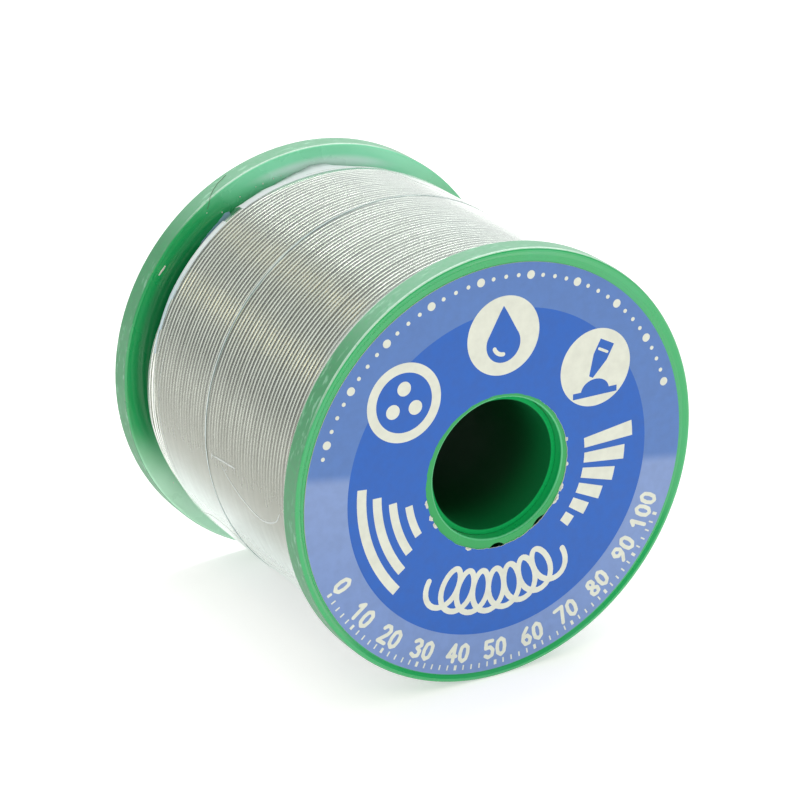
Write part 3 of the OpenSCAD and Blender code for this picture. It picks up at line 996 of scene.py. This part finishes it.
@dataclass
class Mouldings:
    """The two flanges and the core, with the marks that use and moulding leave on them."""

    rim_r: float = 31.75
    rim_corner: float = 0.4
    rear_inner_y: float = 24.1
    rear_seat_y: float = 27.3
    hair_mm: float = 0.07
    hair_from_y: float = 26.57
    pin_angles: tuple[float, ...] = (10, 100, 190, 280)
    pin_reach: float = 22.6
    pin_r: float = 1.9
    gate: Spot = (13.4, 128)
    gate_rings: tuple[Spot, ...] = ((0.75, -0.02), (0.68, 0.09), (0.5, 0.12))
    # The crumbs' distances from the axis and angles, and the course of one longer shred
    crumbs: tuple[Spot, ...] = (
        (28.7, 101.3), (28.76, 103.8), (28.79, 107.4), (28.87, 109.8), (28.89, 115.4),
        (28.68, 122.3), (30.35, 125.9), (29.4, 214.0), (28.9, 61.0))
    shred: tuple[Spot, ...] = ((30.58, 147.4), (30.51, 146.1), (30.44, 145.3), (30.4, 144.2))
    hair_course: tuple[Spot, ...] = (
        (0, 114.8), (0.29, 116.4), (0.53, 118.0), (0.92, 119.4), (1.48, 121.0), (2.19, 122.5),
        (2.65, 123.6), (3.3, 125.1))

    def hair(self) -> None:
        """A dark hair that has stuck to the rear flange, over its rim's inner corner."""
        r, c, y = self.rim_r, self.rim_corner, self.rear_inner_y
        run, angle = rounded(np.array(self.hair_course), 8).T
        flat, bend = self.hair_from_y - y - c, c * math.pi / 2
        lean = np.clip((run - flat) / bend, 0, 1) * math.pi / 2
        path = polar(r - c + c * np.cos(lean) - np.maximum(0, run - flat - bend),
                     y + c - c * np.sin(lean) + np.maximum(0, flat - run), angle)
        normals = polar(np.cos(lean), 0.0, angle) + np.sin(lean)[:, None] * np.array([0, -1, 0])
        hair = bead(path + normals * 0.03, normals, self.hair_mm, self.hair_mm, 8)
        make_piece("hair_on_rear_rim", *hair, [HAIR], "core_plastic")

    def bits(self) -> None:
        """Cream shreds of paper and crumbs that cling to the rear flange's inner face."""
        parts = []
        lines = [(self.shred, 0.32)]
        lines += [(((r, a - 0.16), (r + 0.03, a + 0.16)), 0.14 + 0.06 * (i % 3))
                  for i, (r, a) in enumerate(self.crumbs)]
        for places, width in lines:
            path = rounded(np.array([polar(r, self.rear_inner_y - 0.04, a) for r, a in places]), 5)
            outward = np.tile([0.0, -1.0, 0.0], (len(path), 1))
            thick = width * (0.5 + 0.5 * np.sin(np.linspace(0.2, math.pi - 0.2, len(path))))
            parts.append(bead(path, outward, thick, thick * 0.5, 6))
        make_piece("paper_crumbs", *joined(parts), [BARE_PAPER], "label_paper")

    def mould_marks(self) -> None:
        """Rings that the ejector pins left on the rear face, and the trimmed gate."""
        parts = []
        for angle in self.pin_angles:
            path = polar(self.pin_reach, self.rear_seat_y, angle)
            path = path + polar(self.pin_r, 0.0, np.linspace(0, 360, 49))
            outward = np.tile([0.0, 1.0, 0.0], (len(path), 1))
            parts.append(bead(path, outward, 0.22, 0.08, 6))
        turn = np.arange(24) * 15.0
        rings = [polar(r, self.rear_seat_y + lift, turn) for r, lift in self.gate_rings]
        faces = grid_faces(3, 24, close_columns=True)[:, ::-1].tolist() + [list(range(48, 72))[::-1]]
        reach, angle = self.gate
        parts.append((np.concatenate(rings) + polar(reach, 0.0, angle), faces))
        make_piece("mould_marks", *joined(parts), [GREEN], "spool_plastic")

    def build(self) -> None:
        """Dresses the three mouldings and adds their marks."""
        for node, finish in (("front_flange", GREEN), ("rear_flange", GREEN), ("core", GREEN_CORE)):
            dress(node, finish)
        self.hair()
        self.bits()
        self.mould_marks()


@dataclass
class Winding:
    """The wound wire: the top layer, the ends of the layers under it, what fills the middle,
    and the wire's start and end."""

    wire_d: float = 0.81
    pitch: float = 0.815
    crest_r: float = 29.75
    layer_drop: float = 0.7
    front_y: float = -23.4
    top_rear_y: float = 20.3
    last_angle: float = 134.0
    side_y: float = 23.95
    barrel_r: float = 17.1
    steps: int = 160
    end_dive: float = 0.55
    free_angles: Spot = (236, 318)
    free_lift: float = 0.05
    flux_r: float = 0.175
    sides: tuple[float, ...] = (-180, -105, -72, -48, -24, 0, 24, 48, 72, 105)

    def layer(self, name: str, radius: float, start: float, end: float, last_angle: float,
              seed: int) -> bpy.types.Object:
        """One layer's turns as a helix of wire with small faults of lay.

        Args:
            name: the piece's name.
            radius: radius of the wire's middle.
            start: place along the axis where it begins.
            end: place where it ends.
            last_angle: the angle where it ends.
            seed: picks its faults.

        Returns:
            The piece.
        """
        turns = (end - start) / self.pitch
        count = int(turns * self.steps)
        turn = np.arange(count + 1) / self.steps
        angle = last_angle + (turns - turn) * 360
        y = start + turn * self.pitch
        y += 0.035 * wobble(turn, 0.37, seed) + 0.03 * wobble(turn, 3.1, seed + 1)
        r = radius - sunk(angle, y)
        r = r + 0.018 * wobble(turn, 0.53, seed + 2) + 0.012 * wobble(turn, 2.3, seed + 3)
        for rest in (turn, turns - turn):
            r = r - self.end_dive * (1 - smooth_step(rest, 0.0, 0.12))
        side = np.radians(self.sides)
        ring_r = r[:, None] + self.wire_d / 2 * np.cos(side)[None, :]
        across = y[:, None] + self.wire_d / 2 * np.sin(side)[None, :]
        points = polar(ring_r, across, angle[:, None])
        faces = grid_faces(count + 1, len(side), close_columns=True)[:, ::-1].tolist()
        last = count * len(side)
        faces += [list(range(len(side))), [last + i for i in range(len(side))][::-1]]
        # The crest value sets the painted shade in the hollows between the turns
        crest = np.tile(np.cos(side), count + 1)
        return make_piece(name, points, faces, [SOLDER], "solder", marks={"crest": crest})

    def heart(self) -> bpy.types.Object:
        """The wire inside, as one turned body with the stepped shoulders of its layers."""
        radius = self.crest_r - self.wire_d
        profile = [(self.barrel_r, -self.side_y), (radius - 2.2, -self.side_y), (radius - 0.9, -23.6),
                   (radius - 0.15, -23.0)]
        profile += [(radius - 0.15, 16.5), (radius - 0.75, 18.5), (radius - 1.5, 20.8),
                    (radius - 2.3, 22.4), (radius - 3.0, self.side_y), (self.barrel_r, self.side_y)]
        turn = np.arange(120) * 3.0
        points = np.concatenate([polar(r, y, turn) for r, y in profile])
        faces = grid_faces(len(profile), len(turn), close_rows=True, close_columns=True)[:, ::-1]
        # A crest of 0.5 gives the heart the painted shade of the hollows all over
        return make_piece("solder_heart", points, faces, [SOLDER], "solder", smooth=False,
                          marks={"crest": np.full(len(points), 0.5)})

    def end_y(self, angle: Points | float) -> Points:
        """Place along the axis of the wire's outer end."""
        last = self.top_rear_y - (np.asarray(angle) - self.last_angle) / 360 * self.pitch
        return last + 1.02 * self.pitch + 0.15 * smooth_step(angle, 280, self.free_angles[1])

    def free_end(self) -> bpy.types.Object:
        """The wire's outer end, laid beside the last turn and cut square."""
        first, last = self.free_angles
        angle = np.linspace(first, last, 60)
        radius = self.crest_r - self.wire_d / 2
        y = self.end_y(angle)
        r = radius - 0.35 * (1 - smooth_step(angle, first, 262)) + self.free_lift - sunk(angle, y)
        cord = bead(polar(r, y, angle), polar(1.0, 0.0, angle), self.wire_d, self.wire_d, 16)
        return make_piece("solder_free_end", *cord, [SOLDER_END], "solder")

    def flux_dot(self) -> bpy.types.Object:
        """The flux that shows in that cut."""
        angle = self.free_angles[1]
        y = float(self.end_y(angle))
        r = self.crest_r - self.wire_d / 2 + self.free_lift - float(sunk(angle, y))
        middle, ahead = polar(r, y, angle), polar(1.0, 0.0, angle + 90)
        out, side = polar(1.0, 0.0, angle), np.array([0.0, 1.0, 0.0])
        turn = np.radians(np.arange(20) * 18)
        ring = np.cos(turn)[:, None] * out + np.sin(turn)[:, None] * side
        rings = [middle + ahead * lift + self.flux_r * size * ring
                 for size, lift in ((1.0, -0.02), (1.0, 0.015), (0.6, 0.03))]
        faces = grid_faces(3, 20, close_columns=True).tolist() + [list(range(40, 60))]
        return make_piece("flux_in_free_end", np.concatenate(rings), faces, [FLUX], "flux")

    def build(self) -> None:
        """Builds the layers, the heart and the wire's ends."""
        radius = self.crest_r - self.wire_d / 2
        top = self.layer("solder_top_layer", radius, self.front_y, self.top_rear_y,
                         self.last_angle, 41)
        for i, (start, end) in enumerate(((18.2, 21.1), (19.4, 22.5), (20.8, 23.5))):
            drop = (i + 1) * self.layer_drop
            self.layer(f"solder_layer_{i + 2}", radius - drop, start, end, 90.0 * i, 51 + 10 * i)
        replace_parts(top, "solder_outer_turns")
        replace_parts(self.heart(), "solder_inner_layers")
        self.free_end()
        self.flux_dot()
        dress("wire_start", SOLDER_END)
        dress("flux_core", FLUX)


@dataclass
class StretchWrap:
    """The clear film round the winding: the sheet, the edge of its last turn and creases."""

    radius: float = 29.82
    front_y: float = -23.9
    rear_y: float = 23.95
    end_course: tuple[Spot, ...] = (
        (0, 23.95), (119, 23.95), (122.5, 20.3), (150, 20.2), (165, 19.6), (178, 18.0), (190, 17.2),
        (212, 16.8), (222, 18.0), (232, 23.95), (360, 23.95))
    reach_course: tuple[Spot, ...] = (
        (0, 28.2), (70, 28.1), (80, 28.3), (87, 28.9), (92, 29.0), (98, 28.3), (104, 27.95),
        (121, 27.85), (210, 28.2), (300, 28.6), (360, 28.2))
    shoulder_course: tuple[Spot, ...] = (
        (0, 20.2), (225, 20.2), (236, 21.4), (318, 21.5), (328, 20.2), (360, 20.2))
    step_mm: float = 0.05
    mm_per_degree: float = 0.52
    edge_course: tuple[Spot, ...] = (
        (-120, 9.0), (-60, 7.7), (0, 6.2), (50, 4.6), (77, 3.8), (107, 3.0), (140, 2.35),
        (170, 2.2), (195, 1.8), (240, 0.6), (280, -0.6))

    strip_outer: tuple[Spot, ...] = (
        (120.5, 28.2), (122, 28.4), (125, 28.1), (131, 27.9), (133.5, 27.8), (134.5, 27.4))
    strip_inner: tuple[Spot, ...] = ((120.5, 26.6), (132, 26.9), (134.5, 27.3))

    def edge_y(self, angle: Points) -> Points:
        """Place along the axis of the last turn's edge."""
        return read(self.edge_course, angle)

    def lie(self, y: Points, angle: Points) -> Points:
        """Radius at which the film lies."""
        round_it = np.mod(angle, 360)
        step = self.step_mm * smooth_step(y - self.edge_y(np.mod(angle + 90, 360) - 90), -0.1, 0.1)
        sag = 0.02 * wobble(y, 3.0, 63) * wobble(angle, 12.0, 64)
        top = self.radius + 0.9 * smooth_step(-y, 22.6, 23.9) + step + sag - sunk(angle, y)
        reach = read(self.reach_course, round_it) + 0.12 * wobble(angle, 5.0, 61)
        shoulder = read(self.shoulder_course, round_it)
        past = np.clip((y - shoulder) / (self.rear_y - shoulder), 0, 1)
        return top + (reach - top) * past ** 1.1

    def sheet(self) -> bpy.types.Object:
        """The wrapped sheet, drawn down to the rear flange and cut back at the left."""
        angle = np.arange(0, 360, 1.0)
        rear = read(self.end_course, angle)
        share = np.linspace(0, 1, 110) ** 0.9
        y = self.front_y + share[:, None] * (rear - self.front_y)[None, :]
        points = polar(self.lie(y, angle[None, :]), y, angle[None, :])
        faces = grid_faces(len(share), len(angle), close_columns=True)
        first = points.reshape(-1, 3)[faces[:, 0]]
        around = np.degrees(np.arctan2(first[:, 2], first[:, 0]))
        tall = first[:, 1] > np.interp(around, (40, 85, 118.5), (20.2, 19.1, 19.1))
        tall &= (around < 118.5) | (around > 124)
        return make_piece("film_sheet", points, faces[:, ::-1], [FILM, FILM_GATHERED], "film",
                          tall.astype(int))

    def line(self, course: Sequence[Spot], width: float, height: float) -> Mesh:
        """A raised line in the film, which thins out to both ends.

        Args:
            course: the places it goes through, as angles and places along the axis.
            width: its width.
            height: its height.

        Returns:
            Its points and faces.
        """
        course = rounded(np.array(course, float))
        run = np.diff(course, axis=0) * [self.mm_per_degree, 1]
        along = np.concatenate([[0], np.cumsum(np.hypot(*run.T))])
        at = np.arange(0, along[-1], 0.35)
        angle = np.interp(at, along, course[:, 0])
        y = np.interp(at, along, course[:, 1])
        thin = np.sin(np.linspace(0.05, math.pi - 0.05, len(at))) ** 0.5
        path = polar(self.lie(y, angle) + 0.01, y, angle)
        uneven = 1 + 0.25 * wobble(at, 2.2, 65)
        return bead(path, polar(1.0, 0.0, angle), width * thin * uneven, height * thin, 6)

    def strip(self) -> bpy.types.Object:
        """A torn strip of the film that stays on the rear flange's inner face."""
        angle = np.linspace(120.5, 134.5, 30)
        outer = read(self.strip_outer, angle)
        inner = read(self.strip_inner, angle)
        rows = [polar(inner + t * (outer - inner + 0.05 * wobble(angle, 1.3, 67)),
                      23.99 - 0.12 * t + 0.03 * wobble(angle, 3.0, 66), angle)
                for t in np.linspace(0, 1, 6)]
        return make_piece("film_torn_strip", np.array(rows), grid_faces(6, 30), [FILM_STRIP], "film")

    def build(self) -> None:
        """Builds the sheet, its edge, its creases and its torn strip."""
        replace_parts(self.sheet(), "film_wrap")
        make_piece("film_edge", *self.line(self.edge_course, 0.4, 0.06), [FILM_EDGE], "film")
        creases = [
            ([(182.4, -7.0), (182.8, -4.5), (183.2, -2.0), (183.6, 0.4)], 0.3, 0.03),
            ([(186, -19.4), (190, -17.5), (193, -13), (191, -8), (187, -4), (184, -2)], 0.35, 0.04),
            ([(97, 20.1), (88, 20.0), (75, 19.9), (60, 19.9)], 0.3, 0.12),
            ([(182.5, 0.2), (185.5, 0.8)], 0.25, 0.05), ([(184.5, -3.9), (186, -3.2)], 0.25, 0.05),
            ([(150, 15.2), (172, 16.6), (190, 16.4), (206, 15.4)], 0.2, 0.06),
            ([(147, 17.0), (170, 18.4), (189, 18.2), (204, 17.0)], 0.22, 0.07),
            ([(145, 18.9), (168, 20.2), (188, 20.0), (203, 18.8)], 0.22, 0.07),
            ([(62, 6.5), (70, 12), (76, 19)], 0.25, 0.07), ([(52, -8), (60, 2), (66, 10)], 0.25, 0.07),
            ([(210, -16), (216, -4), (212, 8), (219, 18)], 0.25, 0.08),
            ([(262, -19), (268, -6), (263, 6), (270, 17)], 0.25, 0.08),
            ([(320, -15), (326, -2), (322, 12)], 0.25, 0.08),
            ([(10, -17), (17, -5), (13, 7), (20, 17)], 0.25, 0.08)]
        lines = joined([self.line(*crease) for crease in creases])
        make_piece("film_creases", *lines, [FILM_CREASE], "film")
        self.strip()


@dataclass
class Studio:
    """Floor, lamps, surroundings and camera."""

    azimuth: float = -30.18
    elevation: float = 22.60
    distance: float = 463.6
    focal_px: float = 3229.0
    frame_px: float = 800.0
    sensor: float = 36.0
    shift_x: float = 0.33
    shift_z: float = 0.32
    strip_away: float = 1.2
    strip_long: float = 1.7
    strip_wide: float = 0.2
    floor_mm: float = 3000.0
    room_light: float = 0.84
    dark_room: float = 0.12
    # What is mirrored: how far in front of the spool the room is dark and is white, then the
    # way to the softbox, how near that way its light begins and is full, and how bright it is
    room_edge: Spot = (-0.4, 0.0)
    softbox_way: Way = (0.5, -0.1, 0.86)
    softbox_edge: Spot = (0.8, 0.93)
    softbox_light: float = 0.95
    strip_way: Way = (0.34, 0.2, 0.92)
    strip_light: float = 1.3
    lamp_light: float = 0.13
    lamp_spread: float = 10
    lamp_colour: str = "#FFEABA"

    def camera(self) -> None:
        """Puts the camera where the object is seen as wanted."""
        a, e = math.radians(self.azimuth), math.radians(self.elevation)
        back = Vector((math.sin(a) * math.cos(e), -math.cos(a) * math.cos(e), math.sin(e)))
        right = Vector((math.cos(a), math.sin(a), 0))
        up = back.cross(right)
        data = bpy.data.cameras.new("camera")
        data.sensor_width = self.sensor
        data.lens = self.focal_px / self.frame_px * self.sensor
        camera = placed("camera", data)
        camera.location = (back * self.distance + right * self.shift_x
                           + up * self.shift_z) * MM
        camera.rotation_mode = "QUATERNION"
        camera.rotation_quaternion = (-back).to_track_quat("-Z", "Y")
        bpy.context.scene.camera = camera

    def floor(self) -> None:
        """Lays the floor under the rims."""
        half, z = self.floor_mm, CAD_BOX[0].z / MM
        mesh = bpy.data.meshes.new("floor")
        mesh.from_pydata([(x * half * MM, y * half * MM, z * MM)
                          for x, y in ((-1, -1), (1, -1), (1, 1), (-1, 1))], [], [(0, 1, 2, 3)])
        mesh.materials.append(STUDIO.material())
        floor = placed("floor", mesh)

    def world(self) -> None:
        """Surroundings: a white backdrop where they are seen or mirrored, with a darker room in
        front of the spool, and plain soft light elsewhere."""
        world = bpy.data.worlds.new("studio")
        world.use_nodes = True
        tree = world.node_tree
        tree.nodes.clear()
        add = Nodes(tree)
        rays = add_node(tree, "LightPath").outputs
        way = add.out("Generated", "TexCoord")
        ahead = add.ramp(add.out("Y", "SeparateXYZ", {0: way}), *self.room_edge, self.dark_room, 1.0)
        over = add.out("Value", "VectorMath", {0: way, 1: self.softbox_way}, operation="DOT_PRODUCT")
        softbox = add.ramp(over, *self.softbox_edge, 0.0, self.softbox_light)
        mirrored = add.out("Value", "Math", {0: ahead, 1: softbox}, operation="MAXIMUM")
        strength = self.room_light
        for ray, level in (("Is Glossy Ray", mirrored), ("Is Transmission Ray", 1.0),
                           ("Is Camera Ray", 1.0)):
            strength = add.out(0, "Mix", {"Factor": rays[ray], 2: strength, 3: level},
                               data_type="FLOAT")
        light = add.out("Background", "Background", {"Color": linear(WHITE), "Strength": strength})
        add_node(tree, "OutputWorld", {"Surface": light})
        bpy.context.scene.world = world

    def lamp(self, name: str, way: Way) -> None:
        """Adds a warm, wide and far softbox, some way from the spool."""
        data = bpy.data.lights.new(name, "SUN")
        data.energy, data.angle = self.lamp_light, math.radians(self.lamp_spread)
        data.color = linear(self.lamp_colour)[:3]
        lamp = placed(name, data)
        lamp.rotation_mode = "QUATERNION"
        lamp.rotation_quaternion = Vector(way).to_track_quat("Z", "Y")

    def strip(self) -> None:
        """Hangs a long strip softbox over the spool, across its axis."""
        data = bpy.data.lights.new("key_strip", "AREA")
        data.shape, data.size, data.size_y = "RECTANGLE", self.strip_long, self.strip_wide
        data.energy = self.strip_light * math.pi * self.strip_away ** 2
        way = Vector(self.strip_way).normalized()
        across = Vector((0, 1, 0)).cross(way).normalized()
        placed("key_strip", data).matrix_world = Matrix.Translation(
            way * self.strip_away) @ Matrix((across, way.cross(across), way)).transposed().to_4x4()

    def build(self) -> None:
        """Sets up the whole studio."""
        self.camera()
        self.floor()
        self.world()
        self.strip()
        self.lamp("left_lamp", (-0.4, -0.45, 0.8))
        self.lamp("low_left_lamp", (-0.8, -0.33, 0.5))
        bpy.context.scene.view_settings.view_transform = "Standard"


def main() -> None:
    """Builds the studio and each sub-assembly."""
    logging.basicConfig(level=logging.INFO, format="%(name)s: %(message)s")
    for part in (Studio(), Mouldings(), Winding(), StretchWrap(), RingLabel()):
        part.build()
        log.info("built %s", type(part).__name__)


if __name__ == "__main__":
    main()
